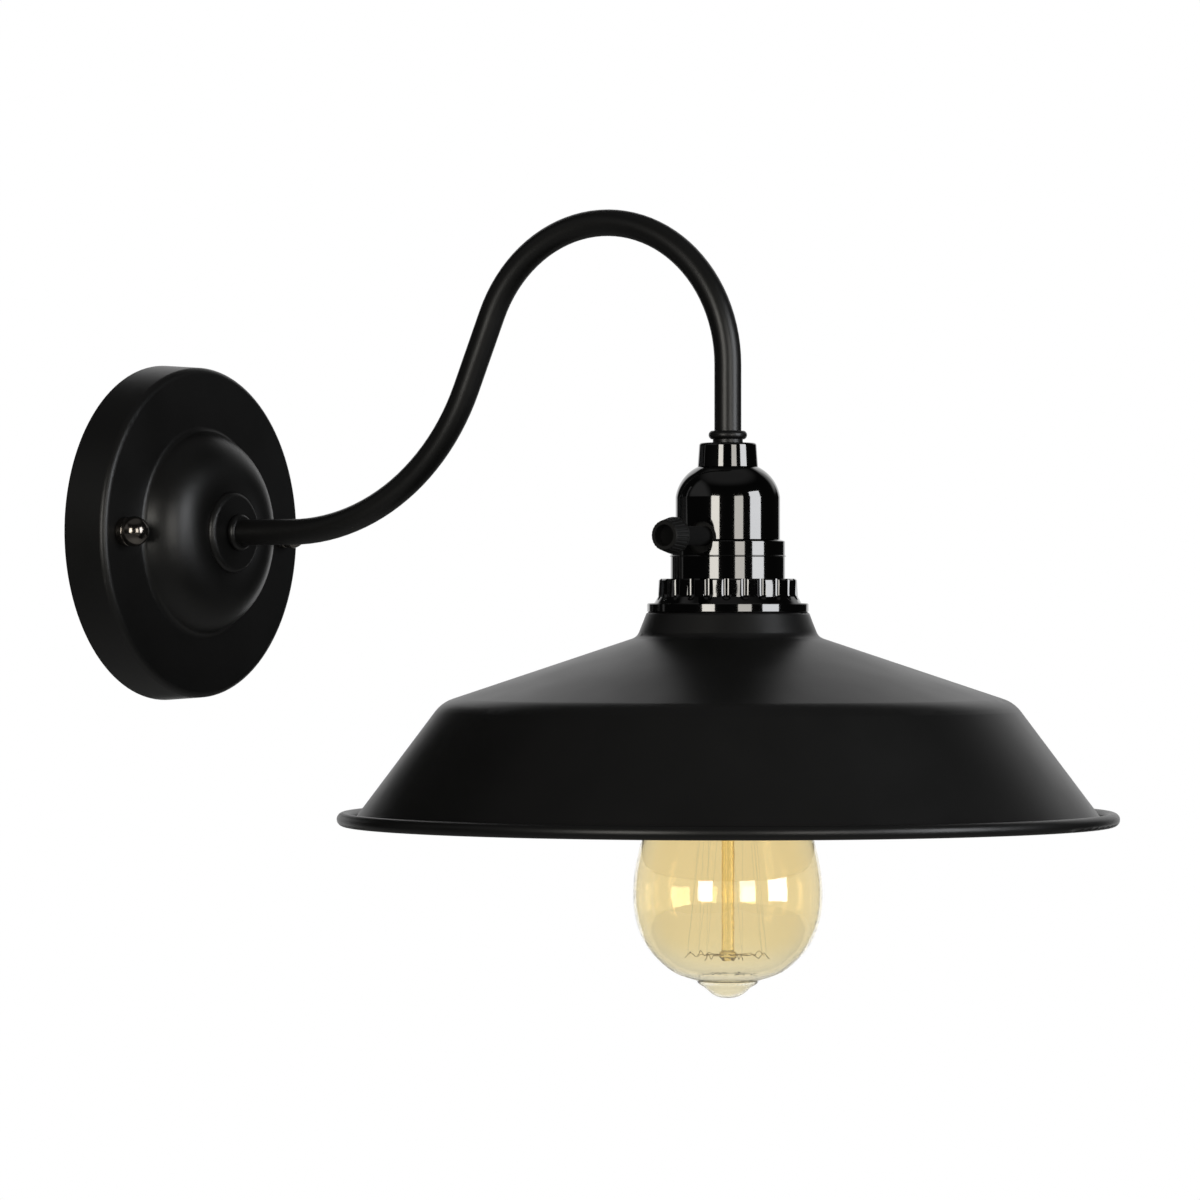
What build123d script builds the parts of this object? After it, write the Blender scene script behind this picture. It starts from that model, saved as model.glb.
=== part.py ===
from build123d import *
from math import sin, cos, pi, radians, hypot
import os

os.makedirs("parts", exist_ok=True)

# Gooseneck wall light. Millimetres. The wall is the plane y = 0, the light stands out along -Y, +Z is up.
# The origin is the centre of the wall canopy, and the arm lies in the plane x = 0.

# Wall canopy: radius at the wall, depth to the flat front, then the dome and the low boss on it
canopy_r = 59.0
canopy_depth = 16.4
canopy_draft = 1.1
canopy_edge_r = 2.4
canopy_sheet = 1.2
dome_r = 35.8
dome_height = 12.5
dome_cove_r = 2.4
dome_bulge_r = 30.0
dome_bulge_height = 9.0
boss_r = 14.3
boss_height = 1.9
boss_top_r = 12.2

# Studs and ball nuts that hold the canopy
stud_inset = 12.0
stud_r = 2.0
stud_clearance = 0.25
stud_beyond = 5.8
lock_nut_height = 3.2
lock_nut_flat_r = 3.5
nut_collar_r = 5.0
nut_collar_height = 2.4
nut_groove_width = 0.7
nut_groove_depth = 0.45
nut_ball_r = 5.25
nut_ball_offset = 4.5

# Bracket behind the canopy
bracket_sheet = 2.0
bracket_half_width = 11.0
bracket_end = 7.0
wall_slot_half_spacing = 32.0
wall_slot_length = 14.0
wall_slot_width = 4.5
wire_entry_r = 6.0
earth_screw_x = 16.0
earth_head_r = 3.6
earth_head_height = 2.4
lug_sheet = 0.8

# Terminal block on the bracket's tab
block_gap = 3.0
block_height = 14.0
block_half_length = 12.5
block_depth = 11.0
pole_pitch = 8.0
pole_back = 5.5
pole_screw_r = 1.6
pole_screw_inset = 3.5
tab_margin = 2.5

# Supply wires
wire_r = 1.0
wire_offset = 1.15
wire_way_gap = 0.5
wire_bend_r = 4.0

# Arm: one tube with a low bend, a slanted rise and a top bend, and a turned ferrule at each end
tube_r = 4.5
tube_wall = 0.8
thread_r = 5.0
wire_way_r = 2.9
bead_step = 0.5
bead_round = 0.9
bead_height = 2.8
spigot_length = 8.0
first_run = 20.5
low_bend_r = 79.2
rise_angle = radians(67.2)
rise_length = 27.1
top_bend_r = 48.85
arm_nut_height = 3.6
arm_nut_flat_r = 7.0
arm_washer_sheet = 1.2
arm_washer_r = 9.0
arm_washer_gap = 0.1
ferrule_tail = 2.4

# Lampholder, from the bead under the arm downwards
bead_bottom = 29.8
thread_show = 1.2
neck_height = 7.9
neck_top_r = 9.5
neck_flare = 0.55
neck_edge_r = 0.9
swage_r = 6.6
swage_lip = 0.9
cap_r = 17.4
cap_sheet = 0.8
cap_top_r = 9.9
cap_dome_height = 10.1
cap_bulge_r = 14.6
cap_bulge_drop = 3.7
cap_side = 14.1
skirt_step = 1.65
skirt_slope = 0.6
skirt_height = 5.9
skirt_lip = 0.3
plug_wall = 0.85
plug_gap = 0.6
shell_show = 7.2
thread_step = 0.85
thread_groove = 0.4
sleeve_below = 10.8
liner_wall = 0.8

# Fluted shade rings
ring_wall = 3.1
ring_draft = 0.3
flute_height = 6.0
flute_count = 24
flute_r = 2.4
flute_depth = 0.55
flare_height = 2.1
flare_width = 1.5
flange_height = 3.0
flange_width = 3.9
ring_edge = 0.5
lower_ring_wall = 4.2
lower_ring_height = 4.9
lower_flute_r = 1.3
lower_flute_depth = 0.6

# Porcelain core with its terminal screws and contacts
core_gap = 0.2
core_above_step = 9.5
core_shoulder_drop = 8.5
core_below_step = 12.5
core_low_gap = 1.9
slot_half = 6.5
slot_back = 6.0
slot_drop = 5.5
terminal_inset = 5.2
terminal_y = 7.0
terminal_screw_r = 1.5
terminal_screw_depth = 6.0
terminal_head_r = 2.8
terminal_head_height = 1.9
flange_sheet = 0.6
flange_bore_r = 8.5
contact_sheet = 0.4

# Turn switch
switch_rise = 1.0
shaft_r = 3.2
shaft_hole_gap = 2.3
shaft_hole_drop = 0.5
running_gap = 0.06
shaft_show = 16.4
knob_web = 0.6
journal_r = 1.6
cavity_r = 5.2
cavity_front = 7.0
cavity_back = 1.0
journal_length = 2.6
cam_side = 6.8
cam_length = 5.0
knob_length = 6.6
knob_face_r = 5.0
knob_back_r = 6.1
knob_band = 0.9
knob_grooves = 26
knob_groove_r = 0.45
knob_recess_r = 3.6
knob_recess_depth = 3.4
housing_gap = 1.6
housing_rise = 7.2

# Shade
shade_sheet = 1.0
shade_hole_gap = 0.4
shade_r = 130.0
shade_neck_margin = 0.05
shade_neck_flare = 3.25
shade_neck_height = 8.25
shade_cone_height = 21.75
skirt_flare = 29.95
rim_width = 4.95
shade_skirt_height = 39.9
rim_bead_r = 2.25

# Bulb with its 27 mm Edison cap
edison_pitch = 3.629
edison_mean_r = 12.58
edison_offset = 0.525
edison_sheet = 0.4
edison_gap = 0.3
contact_gap = 0.2
bulb_contact_r = 4.8
bulb_contact_height = 0.9
contact_stem_r = 3.0
insulator_inset = 1.68
shoulder_height = 1.5
insulator_height = 2.3
edison_length = 18.9
cap_skirt_length = 3.7
cap_skirt_step = 0.77
cement_gap = 0.05
glass_wall = 0.8
glass_r = 31.5
bulb_length = 138.3
stem_r = 2.1
press_r = 4.0
hub_r = 2.9
hub_above_tip = 14.2
lead_r = 0.35
lead_offset = 1.6
hook_wire_r = 0.2
filament_height = 69.0
upper_hook_r = 6.5
lower_hook_r = 13.2
strand_count = 7
strand_r = 0.06
strand_gap = 0.45

# Distances from the wall and the canopy's axis
stud_half_spacing = canopy_r - stud_inset
dome_top = canopy_depth + dome_height
boss_top = dome_top + boss_height
stud_end = canopy_depth + stud_beyond
bracket_half_length = stud_half_spacing + bracket_end
block_top = -bracket_half_width - block_gap
block_bottom = block_top - block_height
block_front = bracket_sheet + block_depth
pole_depth = bracket_sheet + pole_back
washer_back = boss_top - canopy_sheet - arm_washer_sheet
arm_nut_back = washer_back - arm_nut_height
ferrule_back = arm_nut_back - ferrule_tail
arm_start = boss_top + bead_height
spigot_r = tube_r - tube_wall
bead_side_r = thread_r + bead_step
bead_r = bead_side_r + bead_round

# Arm centre line: straight from the wall, up through the low bend and the rise, over the top bend and down
low_start = arm_start + first_run
low_end = (low_start + low_bend_r * sin(rise_angle), low_bend_r * (1 - cos(rise_angle)))
rise_end = (low_end[0] + rise_length * cos(rise_angle), low_end[1] + rise_length * sin(rise_angle))
top_centre = (rise_end[0] + top_bend_r * sin(rise_angle), rise_end[1] - top_bend_r * cos(rise_angle))
reach = top_centre[0] + top_bend_r

# Heights and radii of the lampholder
arm_end = bead_bottom + bead_height
neck_top = bead_bottom - thread_show
neck_bottom = neck_top - neck_height
neck_bottom_r = neck_top_r + neck_flare
cap_shoulder = neck_bottom - cap_dome_height
cap_step = cap_shoulder - cap_side
skirt_r = cap_r + skirt_step
skirt_end = cap_step - skirt_height
plug_r = skirt_r - cap_sheet
switch_height = cap_step + switch_rise
shaft_hole_r = shaft_r + shaft_hole_gap
shaft_hole_height = switch_height - shaft_hole_drop
plug_top = min(cap_step - skirt_slope - cap_sheet, switch_height - shaft_r) - plug_gap
shell_bore_r = plug_r - plug_wall
shade_thread_r = skirt_r + thread_step
ring_top = skirt_end - shell_show
shade_thread_top = ring_top - thread_groove
ring_top_r = shade_thread_r + ring_wall
ring_flute_end = ring_top - flute_height
ring_flange_top = ring_flute_end - flare_height
ring_flange_r = ring_top_r + flange_width
shade_seat = ring_flange_top - flange_height
lower_ring_top = shade_seat - shade_sheet
lower_ring_r = shade_thread_r + lower_ring_wall
shell_end = shade_seat - sleeve_below
core_r = cap_r - cap_sheet - core_gap
terminal_x = core_r - terminal_inset
core_low_r = shell_bore_r - liner_wall - core_low_gap
core_top = cap_step + core_above_step
core_shoulder = cap_step - core_shoulder_drop
core_bottom = cap_step - core_below_step
slot_floor = cap_step - slot_drop
knob_back = cap_r + shaft_show
knob_face = knob_back + knob_length
shaft_tip = knob_face - knob_recess_depth - knob_web
housing_face = cap_r - cap_sheet - housing_gap
housing_top = switch_height + housing_rise

# Heights and radii of the shade and the bulb
shade_hole_r = shade_thread_r + shade_hole_gap
shade_neck_r = ring_flange_r + shade_neck_margin
shade_skirt_r = shade_r - rim_width
neck_foot = (shade_neck_r + shade_neck_flare, shade_seat - shade_neck_height)
brow = (shade_skirt_r - skirt_flare, neck_foot[1] - shade_cone_height)
skirt_foot = (shade_skirt_r, brow[1] - shade_skirt_height)
rim_r = shade_r - rim_bead_r
rim_height = skirt_foot[1] - shade_sheet + rim_bead_r
contact_low = core_bottom - contact_sheet - 1.1
bulb_contact_top = contact_low - contact_gap
insulator_top = bulb_contact_top - bulb_contact_height
thread_top = insulator_top - insulator_height - shoulder_height
thread_end = thread_top - edison_length
glass_top = thread_end - 0.5
bulb_tip = bulb_contact_top - bulb_length
glass_length = glass_top - bulb_tip
insulator_r = edison_mean_r - insulator_inset
cap_skirt_r = edison_mean_r + cap_skirt_step
neck_glass_r = cap_skirt_r - edison_sheet - cement_gap
hub_height = bulb_tip + hub_above_tip
upper_hook_height = hub_height + filament_height

wall_section = Plane.XY
lamp_section = Plane(origin=(0, -reach, 0), x_dir=(1, 0, 0), z_dir=(0, -1, 0))
lamp_axis = Axis((0, -reach, 0), (0, 0, 1))
switch_axis = Axis((0, -reach, switch_height), (-1, 0, 0))


def lamp_level(height):
    return Plane(origin=(0, -reach, height), x_dir=(1, 0, 0), z_dir=(0, 0, 1))


def wall_level(distance):
    return Plane(origin=(0, -distance, 0), x_dir=(1, 0, 0), z_dir=(0, -1, 0))


def rod(start, end, radius, mode=Mode.ADD):
    run = Vector(*end) - Vector(*start)
    with Locations(Plane(origin=start, z_dir=run).location):
        Cylinder(radius, run.length, align=(Align.CENTER, Align.CENTER, Align.MIN), mode=mode)


def bent_wire(points, radius):
    runs = [Vector(*points[k + 1]) - Vector(*points[k]) for k in range(len(points) - 1)]
    for k in range(len(runs)):
        rod(points[k], points[k + 1], radius)
    for k in range(1, len(runs)):
        with Locations(Plane(origin=points[k], x_dir=runs[k], z_dir=runs[k - 1]).location):
            Sphere(radius)


def around(radius, angle, height):
    return (radius * cos(angle), -reach + radius * sin(angle), height)


def switch_point(distance):
    return (-distance, -reach, switch_height)


def shaft_hole():
    rod((0, -reach, shaft_hole_height), (-2 * skirt_r, -reach, shaft_hole_height), shaft_hole_r,
        Mode.SUBTRACT)


def inset(points, distance):
    moved = []
    for k in range(len(points)):
        before = points[max(k - 1, 0)]
        after = points[min(k + 1, len(points) - 1)]
        along = (after[0] - before[0], after[1] - before[1])
        size = hypot(along[0], along[1])
        moved.append((points[k][0] + along[1] / size * distance,
                      points[k][1] - along[0] / size * distance))
    return moved


def low_point(x, angle):
    return (x, -low_start - low_bend_r * sin(angle), low_bend_r * (1 - cos(angle)))


def top_point(x, angle):
    return (x, -top_centre[0] + top_bend_r * sin(angle), top_centre[1] + top_bend_r * cos(angle))


def arm_bends(x):
    ThreePointArc(low_point(x, 0), low_point(x, rise_angle / 2), low_point(x, rise_angle))
    Line(low_point(x, rise_angle), top_point(x, rise_angle))
    ThreePointArc(top_point(x, rise_angle), top_point(x, (rise_angle - pi / 2) / 2),
                  top_point(x, -pi / 2))


# Supply wire: up out of its pole, through the ferrule and the tube, down the neck to its terminal screw
def supply_path(pole_x, x, side):
    top = top_point(x, -pi / 2)
    wire_lie = core_top + wire_r
    wire_stop = terminal_x - terminal_head_r - 0.6
    FilletPolyline((pole_x, -pole_depth, block_bottom + block_height / 2),
                   (pole_x, -pole_depth, block_top + 6), (x, -ferrule_back + 7.5, 0), low_point(x, 0),
                   radius=[wire_bend_r, wire_bend_r])
    arm_bends(x)
    FilletPolyline(top, (x, -reach, core_top + 8),
                   (wire_stop - 4.6, -reach + side * terminal_y, wire_lie),
                   (wire_stop, -reach + side * terminal_y, wire_lie), radius=[wire_bend_r,
                                                                              wire_bend_r * 0.75])


def edison_helix(bottom, top):
    turned = Location((0, -reach, bottom), (0, 0, 360 * bottom / edison_pitch))
    return Helix(edison_pitch, top - bottom, edison_offset).moved(turned)


def edison_section(bottom):
    turn = 2 * pi * bottom / edison_pitch
    return Plane(origin=around(edison_offset, turn, bottom), x_dir=(1, 0, 0), z_dir=(0, 0, 1))


# Wall canopy: spun cup with a domed middle, a low boss for the arm and two stud holes
with BuildPart() as wall_canopy:
    with BuildSketch(wall_section):
        with BuildLine() as skin:
            front_edge = (canopy_r - canopy_draft, -canopy_depth)
            Polyline((canopy_r + canopy_draft / 4, canopy_depth / 4), front_edge,
                     (dome_r, -canopy_depth))
            ThreePointArc((dome_r, -canopy_depth), (dome_bulge_r, -canopy_depth - dome_bulge_height),
                          (boss_r, -dome_top))
            boss_flat = Line((boss_top_r, -boss_top), (thread_r, -boss_top))
            TangentArc(boss_flat @ 0, (boss_r, -dome_top), tangent=(1, 0))
            fillet(skin.vertices().sort_by_distance(front_edge)[0], canopy_edge_r)
            fillet(skin.vertices().sort_by_distance((dome_r, -canopy_depth))[0], dome_cove_r)
            offset(amount=canopy_sheet, side=Side.RIGHT)
        make_face()
    revolve(axis=Axis.Y)
    with BuildSketch(wall_level(0)):
        Circle(canopy_r * 1.2)
    extrude(amount=-canopy_depth, mode=Mode.SUBTRACT)
    with BuildSketch(wall_level(0)):
        with Locations((-stud_half_spacing, 0), (stud_half_spacing, 0)):
            Circle(stud_r + stud_clearance)
    extrude(amount=canopy_depth + canopy_sheet, mode=Mode.SUBTRACT)
wall_canopy.part.label = "wall_canopy"
export_step(wall_canopy.part, "parts/wall_canopy.step")

# Mounting bracket: flat crossbar on the wall with two slots, a wire entry and a tab for the terminal block
with BuildPart() as mounting_bracket:
    with BuildSketch(wall_level(0)):
        tab_end = block_bottom - tab_margin
        Rectangle(2 * bracket_half_length, 2 * bracket_half_width)
        with Locations((0, tab_end / 2)):
            Rectangle(2 * (block_half_length + tab_margin), -tab_end)
        Circle(wire_entry_r, mode=Mode.SUBTRACT)
        with Locations((-wall_slot_half_spacing, 0), (wall_slot_half_spacing, 0)):
            SlotOverall(wall_slot_length, wall_slot_width, mode=Mode.SUBTRACT)
        with Locations((-stud_half_spacing, 0), (stud_half_spacing, 0), (earth_screw_x, 0)):
            Circle(stud_r, mode=Mode.SUBTRACT)
    extrude(amount=bracket_sheet)
mounting_bracket.part.label = "mounting_bracket"
export_step(mounting_bracket.part, "parts/mounting_bracket.step")

# Two studs that stand out of the bracket through the canopy
with BuildPart() as canopy_studs:
    with BuildSketch(wall_level(0)):
        with Locations((-stud_half_spacing, 0), (stud_half_spacing, 0)):
            Circle(stud_r)
    extrude(amount=stud_end)
canopy_studs.part.label = "canopy_studs"
export_step(canopy_studs.part, "parts/canopy_studs.step")

# Two hexagon nuts that lock the studs to the bracket
with BuildPart() as stud_lock_nuts:
    with BuildSketch(wall_level(bracket_sheet)):
        with Locations((-stud_half_spacing, 0), (stud_half_spacing, 0)):
            RegularPolygon(lock_nut_flat_r, 6, major_radius=False)
            Circle(stud_r, mode=Mode.SUBTRACT)
    extrude(amount=lock_nut_height)
stud_lock_nuts.part.label = "stud_lock_nuts"
export_step(stud_lock_nuts.part, "parts/stud_lock_nuts.step")

# Two ball nuts that hold the canopy: a round collar, a small groove and a ball end over a blind hole
with BuildPart() as cap_nuts:
    groove_start = canopy_depth + nut_collar_height
    ball_start = groove_start + nut_groove_width
    ball_centre = canopy_depth + nut_ball_offset
    ball_start_r = (nut_ball_r ** 2 - (ball_centre - ball_start) ** 2) ** 0.5
    with BuildSketch(Plane(origin=(stud_half_spacing, 0, 0))):
        with BuildLine():
            Polyline((stud_r, -canopy_depth), (nut_collar_r - 0.3, -canopy_depth),
                     (nut_collar_r, -canopy_depth - 0.3), (nut_collar_r, -groove_start),
                     (nut_collar_r - nut_groove_depth, -groove_start - nut_groove_width / 2),
                     (ball_start_r, -ball_start))
            ThreePointArc((ball_start_r, -ball_start),
                          (nut_ball_r * cos(pi / 4), -ball_centre - nut_ball_r * sin(pi / 4)),
                          (0, -ball_centre - nut_ball_r))
            Polyline((0, -ball_centre - nut_ball_r), (0, -stud_end), (stud_r, -stud_end),
                     (stud_r, -canopy_depth))
        make_face()
    revolve(axis=Axis((stud_half_spacing, 0, 0), (0, 1, 0)))
    mirror(about=Plane.YZ)
cap_nuts.part.label = "cap_nuts"
export_step(cap_nuts.part, "parts/cap_nuts.step")

# Earth screw on the bracket
with BuildPart() as earth_screw:
    head_back = bracket_sheet + lug_sheet
    with BuildSketch(wall_level(0)):
        with Locations((earth_screw_x, 0)):
            Circle(stud_r)
    extrude(amount=head_back)
    with BuildSketch(wall_level(head_back)):
        with Locations((earth_screw_x, 0)):
            Circle(earth_head_r)
    extrude(amount=earth_head_height)
    fillet(earth_screw.edges().sort_by(Axis.Y)[0], earth_head_height * 0.4)
    with BuildSketch(wall_level(head_back + earth_head_height / 2)):
        with Locations((earth_screw_x, 0)):
            Rectangle(1.0, earth_head_r * 1.4)
            Rectangle(earth_head_r * 1.4, 1.0)
    extrude(amount=earth_head_height, mode=Mode.SUBTRACT)
earth_screw.part.label = "earth_screw"
export_step(earth_screw.part, "parts/earth_screw.step")

# Terminal block on the bracket's tab: three poles with wire ways and screw holes
screw_rows = (block_top - pole_screw_inset, block_bottom + pole_screw_inset)
poles = [(x, row) for row in screw_rows for x in (-pole_pitch, 0, pole_pitch)]
with BuildPart() as terminal_block:
    with BuildSketch(wall_level(bracket_sheet)):
        with Locations((0, (block_top + block_bottom) / 2)):
            Rectangle(2 * block_half_length, block_height)
    extrude(amount=block_depth)
    with BuildSketch(wall_level(block_front)):
        with Locations((-pole_pitch / 2, (block_top + block_bottom) / 2),
                       (pole_pitch / 2, (block_top + block_bottom) / 2)):
            Rectangle(pole_pitch * 0.2, block_height)
    extrude(amount=-block_depth / 4, mode=Mode.SUBTRACT)
    with BuildSketch(Plane(origin=(0, -pole_depth, block_top), x_dir=(1, 0, 0), z_dir=(0, 0, -1))):
        with Locations((-pole_pitch, 0), (0, 0), (pole_pitch, 0)):
            Circle(wire_r + wire_way_gap)
    extrude(amount=block_height, mode=Mode.SUBTRACT)
    with BuildSketch(wall_level(pole_depth)):
        with Locations(*poles):
            Circle(pole_screw_r)
    extrude(amount=block_depth, mode=Mode.SUBTRACT)
terminal_block.part.label = "terminal_block"
export_step(terminal_block.part, "parts/terminal_block.step")

# Six slotted screws in the terminal block
with BuildPart() as terminal_screws:
    screw_length = block_front - pole_depth - wire_r - 0.9
    with BuildSketch(wall_level(pole_depth + wire_r)):
        with Locations(*poles):
            Circle(pole_screw_r)
    extrude(amount=screw_length)
    with BuildSketch(wall_level(pole_depth + wire_r + screw_length)):
        with Locations(*poles):
            Rectangle(0.5, 3 * pole_screw_r)
    extrude(amount=-0.8, mode=Mode.SUBTRACT)
terminal_screws.part.label = "terminal_screws"
export_step(terminal_screws.part, "parts/terminal_screws.step")

# Earth wire with its ring lug, from the earth screw to the right-hand pole
with BuildPart() as earth_wire:
    lug_r = earth_head_r + 0.3
    tongue = lug_r + 2.6
    with BuildSketch(wall_level(bracket_sheet)):
        with Locations((earth_screw_x, 0)):
            Circle(lug_r)
        with Locations((earth_screw_x, -tongue / 2)):
            Rectangle(2.6 * wire_r, tongue)
        with Locations((earth_screw_x, 0)):
            Circle(stud_r, mode=Mode.SUBTRACT)
    extrude(amount=lug_sheet)
    with BuildLine() as earth_path:
        wire_out = -bracket_sheet - wire_r - 0.2
        FilletPolyline((earth_screw_x, wire_out, -earth_head_r - 1.2),
                       (earth_screw_x, wire_out, -earth_head_r - 5.4),
                       (pole_pitch, -pole_depth, block_top + 3),
                       (pole_pitch, -pole_depth, block_bottom + block_height / 2),
                       radius=[wire_bend_r * 0.75, wire_bend_r * 0.75])
    with BuildSketch(Plane(origin=earth_path.line @ 0, z_dir=earth_path.line % 0)):
        Circle(wire_r)
    sweep()
earth_wire.part.label = "earth_wire"
export_step(earth_wire.part, "parts/earth_wire.step")

# Lock washer and thin hexagon nut that clamp the arm inside the canopy boss
with BuildPart() as arm_lock_washer:
    with BuildSketch(wall_level(washer_back)):
        Circle(arm_washer_r)
        Circle(thread_r + arm_washer_gap, mode=Mode.SUBTRACT)
    extrude(amount=arm_washer_sheet)
arm_lock_washer.part.label = "arm_lock_washer"
export_step(arm_lock_washer.part, "parts/arm_lock_washer.step")

with BuildPart() as arm_lock_nut:
    with BuildSketch(wall_level(arm_nut_back)):
        RegularPolygon(arm_nut_flat_r, 6, major_radius=False)
        Circle(thread_r, mode=Mode.SUBTRACT)
    extrude(amount=arm_nut_height)
arm_lock_nut.part.label = "arm_lock_nut"
export_step(arm_lock_nut.part, "parts/arm_lock_nut.step")

# Wall ferrule: collar bead against the boss, threaded shank through it and a spigot into the tube
with BuildPart() as wall_ferrule:
    with BuildSketch(wall_section):
        with BuildLine():
            Polyline((wire_way_r, -ferrule_back), (thread_r, -ferrule_back), (thread_r, -boss_top),
                     (bead_side_r, -boss_top))
            ThreePointArc((bead_side_r, -boss_top), (bead_r, -boss_top - bead_height / 2),
                          (bead_side_r, -arm_start))
            Polyline((bead_side_r, -arm_start), (spigot_r, -arm_start),
                     (spigot_r, -arm_start - spigot_length), (wire_way_r, -arm_start - spigot_length),
                     (wire_way_r, -ferrule_back))
        make_face()
    revolve(axis=Axis.Y)
wall_ferrule.part.label = "wall_ferrule"
export_step(wall_ferrule.part, "parts/wall_ferrule.step")

# Gooseneck arm: one bent tube
with BuildPart() as gooseneck_arm:
    with BuildLine() as arm_path:
        Line((0, -arm_start, 0), low_point(0, 0))
        arm_bends(0)
        Line(top_point(0, -pi / 2), (0, -reach, arm_end))
    with BuildSketch(Plane(origin=(0, -arm_start, 0), z_dir=(0, -1, 0))):
        Circle(tube_r)
        Circle(spigot_r, mode=Mode.SUBTRACT)
    sweep()
gooseneck_arm.part.label = "gooseneck_arm"
export_step(gooseneck_arm.part, "parts/gooseneck_arm.step")

# Socket ferrule: bead under the tube, threaded shank into the lampholder's neck
with BuildPart() as socket_ferrule:
    with BuildSketch(lamp_section):
        shank_end = neck_bottom - 3.1
        with BuildLine():
            Polyline((wire_way_r, shank_end), (thread_r, shank_end), (thread_r, bead_bottom),
                     (bead_side_r, bead_bottom))
            ThreePointArc((bead_side_r, bead_bottom), (bead_r, bead_bottom + bead_height / 2),
                          (bead_side_r, arm_end))
            Polyline((bead_side_r, arm_end), (spigot_r, arm_end), (spigot_r, arm_end + spigot_length),
                     (wire_way_r, arm_end + spigot_length), (wire_way_r, shank_end))
        make_face()
    revolve(axis=lamp_axis)
socket_ferrule.part.label = "socket_ferrule"
export_step(socket_ferrule.part, "parts/socket_ferrule.step")

# Live and neutral wires, whole from the terminal block to the lampholder
with BuildPart() as live_wire:
    with BuildLine() as live_path:
        supply_path(-pole_pitch, -wire_offset, -1)
    with BuildSketch(Plane(origin=live_path.line @ 0, z_dir=live_path.line % 0)):
        Circle(wire_r)
    sweep()
live_wire.part.label = "live_wire"
export_step(live_wire.part, "parts/live_wire.step")

with BuildPart() as neutral_wire:
    with BuildLine() as neutral_path:
        supply_path(0, wire_offset, 1)
    with BuildSketch(Plane(origin=neutral_path.line @ 0, z_dir=neutral_path.line % 0)):
        Circle(wire_r)
    sweep()
neutral_wire.part.label = "neutral_wire"
export_step(neutral_wire.part, "parts/neutral_wire.step")

# Lampholder neck: round nut with a spigot swaged inside the cap
with BuildPart() as socket_neck:
    with BuildSketch(lamp_section):
        swage_top = neck_bottom - cap_sheet
        with BuildLine() as neck_line:
            Polyline((thread_r, neck_top), (neck_top_r, neck_top), (neck_bottom_r, neck_bottom),
                     (swage_r, neck_bottom), (swage_r, swage_top), (swage_r + swage_lip, swage_top),
                     (swage_r + swage_lip - 0.3, swage_top - 0.6), (thread_r, swage_top - 0.6),
                     (thread_r, neck_top))
            fillet(neck_line.vertices().sort_by_distance((neck_top_r, neck_top))[0], neck_edge_r)
        make_face()
    revolve(axis=lamp_axis)
socket_neck.part.label = "socket_neck"
export_step(socket_neck.part, "parts/socket_neck.step")

# Lampholder cap: deep drawn bell with a stepped skirt, a lip at its edge and a hole for the switch shaft
with BuildPart() as socket_cap:
    with BuildSketch(lamp_section):
        with BuildLine() as cap_line:
            step_foot = (skirt_r, cap_step - skirt_slope)
            Line((swage_r, neck_bottom), (cap_top_r, neck_bottom))
            ThreePointArc((cap_top_r, neck_bottom), (cap_bulge_r, neck_bottom - cap_bulge_drop),
                          (cap_r, cap_shoulder))
            Polyline((cap_r, cap_shoulder), (cap_r, cap_step), step_foot, (skirt_r, skirt_end))
            fillet(cap_line.vertices().sort_by_distance(step_foot)[0], 0.4)
            offset(amount=cap_sheet, side=Side.RIGHT)
        make_face()
        with Locations((skirt_r, skirt_end + skirt_lip)):
            Circle(skirt_lip)
    revolve(axis=lamp_axis)
    shaft_hole()
socket_cap.part.label = "socket_cap"
export_step(socket_cap.part, "parts/socket_cap.step")

# Lampholder shell: turned sleeve that plugs into the cap's skirt, notched for the switch, with the thread of
# the shade rings below
with BuildPart() as socket_shell:
    with BuildSketch(lamp_section):
        with BuildLine():
            Polyline((shell_bore_r, plug_top), (plug_r, plug_top), (plug_r, skirt_end),
                     (skirt_r, skirt_end), (skirt_r, shade_thread_top),
                     (shade_thread_r, shade_thread_top), (shade_thread_r, shell_end),
                     (shell_bore_r, shell_end), (shell_bore_r, plug_top))
        make_face()
    revolve(axis=lamp_axis)
    shaft_hole()
socket_shell.part.label = "socket_shell"
export_step(socket_shell.part, "parts/socket_shell.step")

# Upper shade ring: fluted grip, flare and flange on the shade
with BuildPart() as shade_ring_upper:
    with BuildSketch(lamp_section):
        with BuildLine():
            Polyline((shade_thread_r, ring_top), (ring_top_r - ring_edge, ring_top),
                     (ring_top_r, ring_top - ring_edge), (ring_top_r + ring_draft, ring_flute_end),
                     (ring_top_r + flare_width, ring_flange_top),
                     (ring_flange_r - 0.35, ring_flange_top), (ring_flange_r, ring_flange_top - 0.35),
                     (ring_flange_r, shade_seat + 0.3), (ring_flange_r - 0.3, shade_seat),
                     (shade_thread_r, shade_seat), (shade_thread_r, ring_top))
        make_face()
    revolve(axis=lamp_axis)
    with Locations(lamp_level(ring_flute_end + 1.0).location):
        with PolarLocations(ring_top_r + flute_r - flute_depth, flute_count):
            Cylinder(flute_r, 2 * flute_height, align=(Align.CENTER, Align.CENTER, Align.MIN),
                     mode=Mode.SUBTRACT)
            Sphere(flute_r, mode=Mode.SUBTRACT)
shade_ring_upper.part.label = "shade_ring_upper"
export_step(shade_ring_upper.part, "parts/shade_ring_upper.step")

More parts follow.
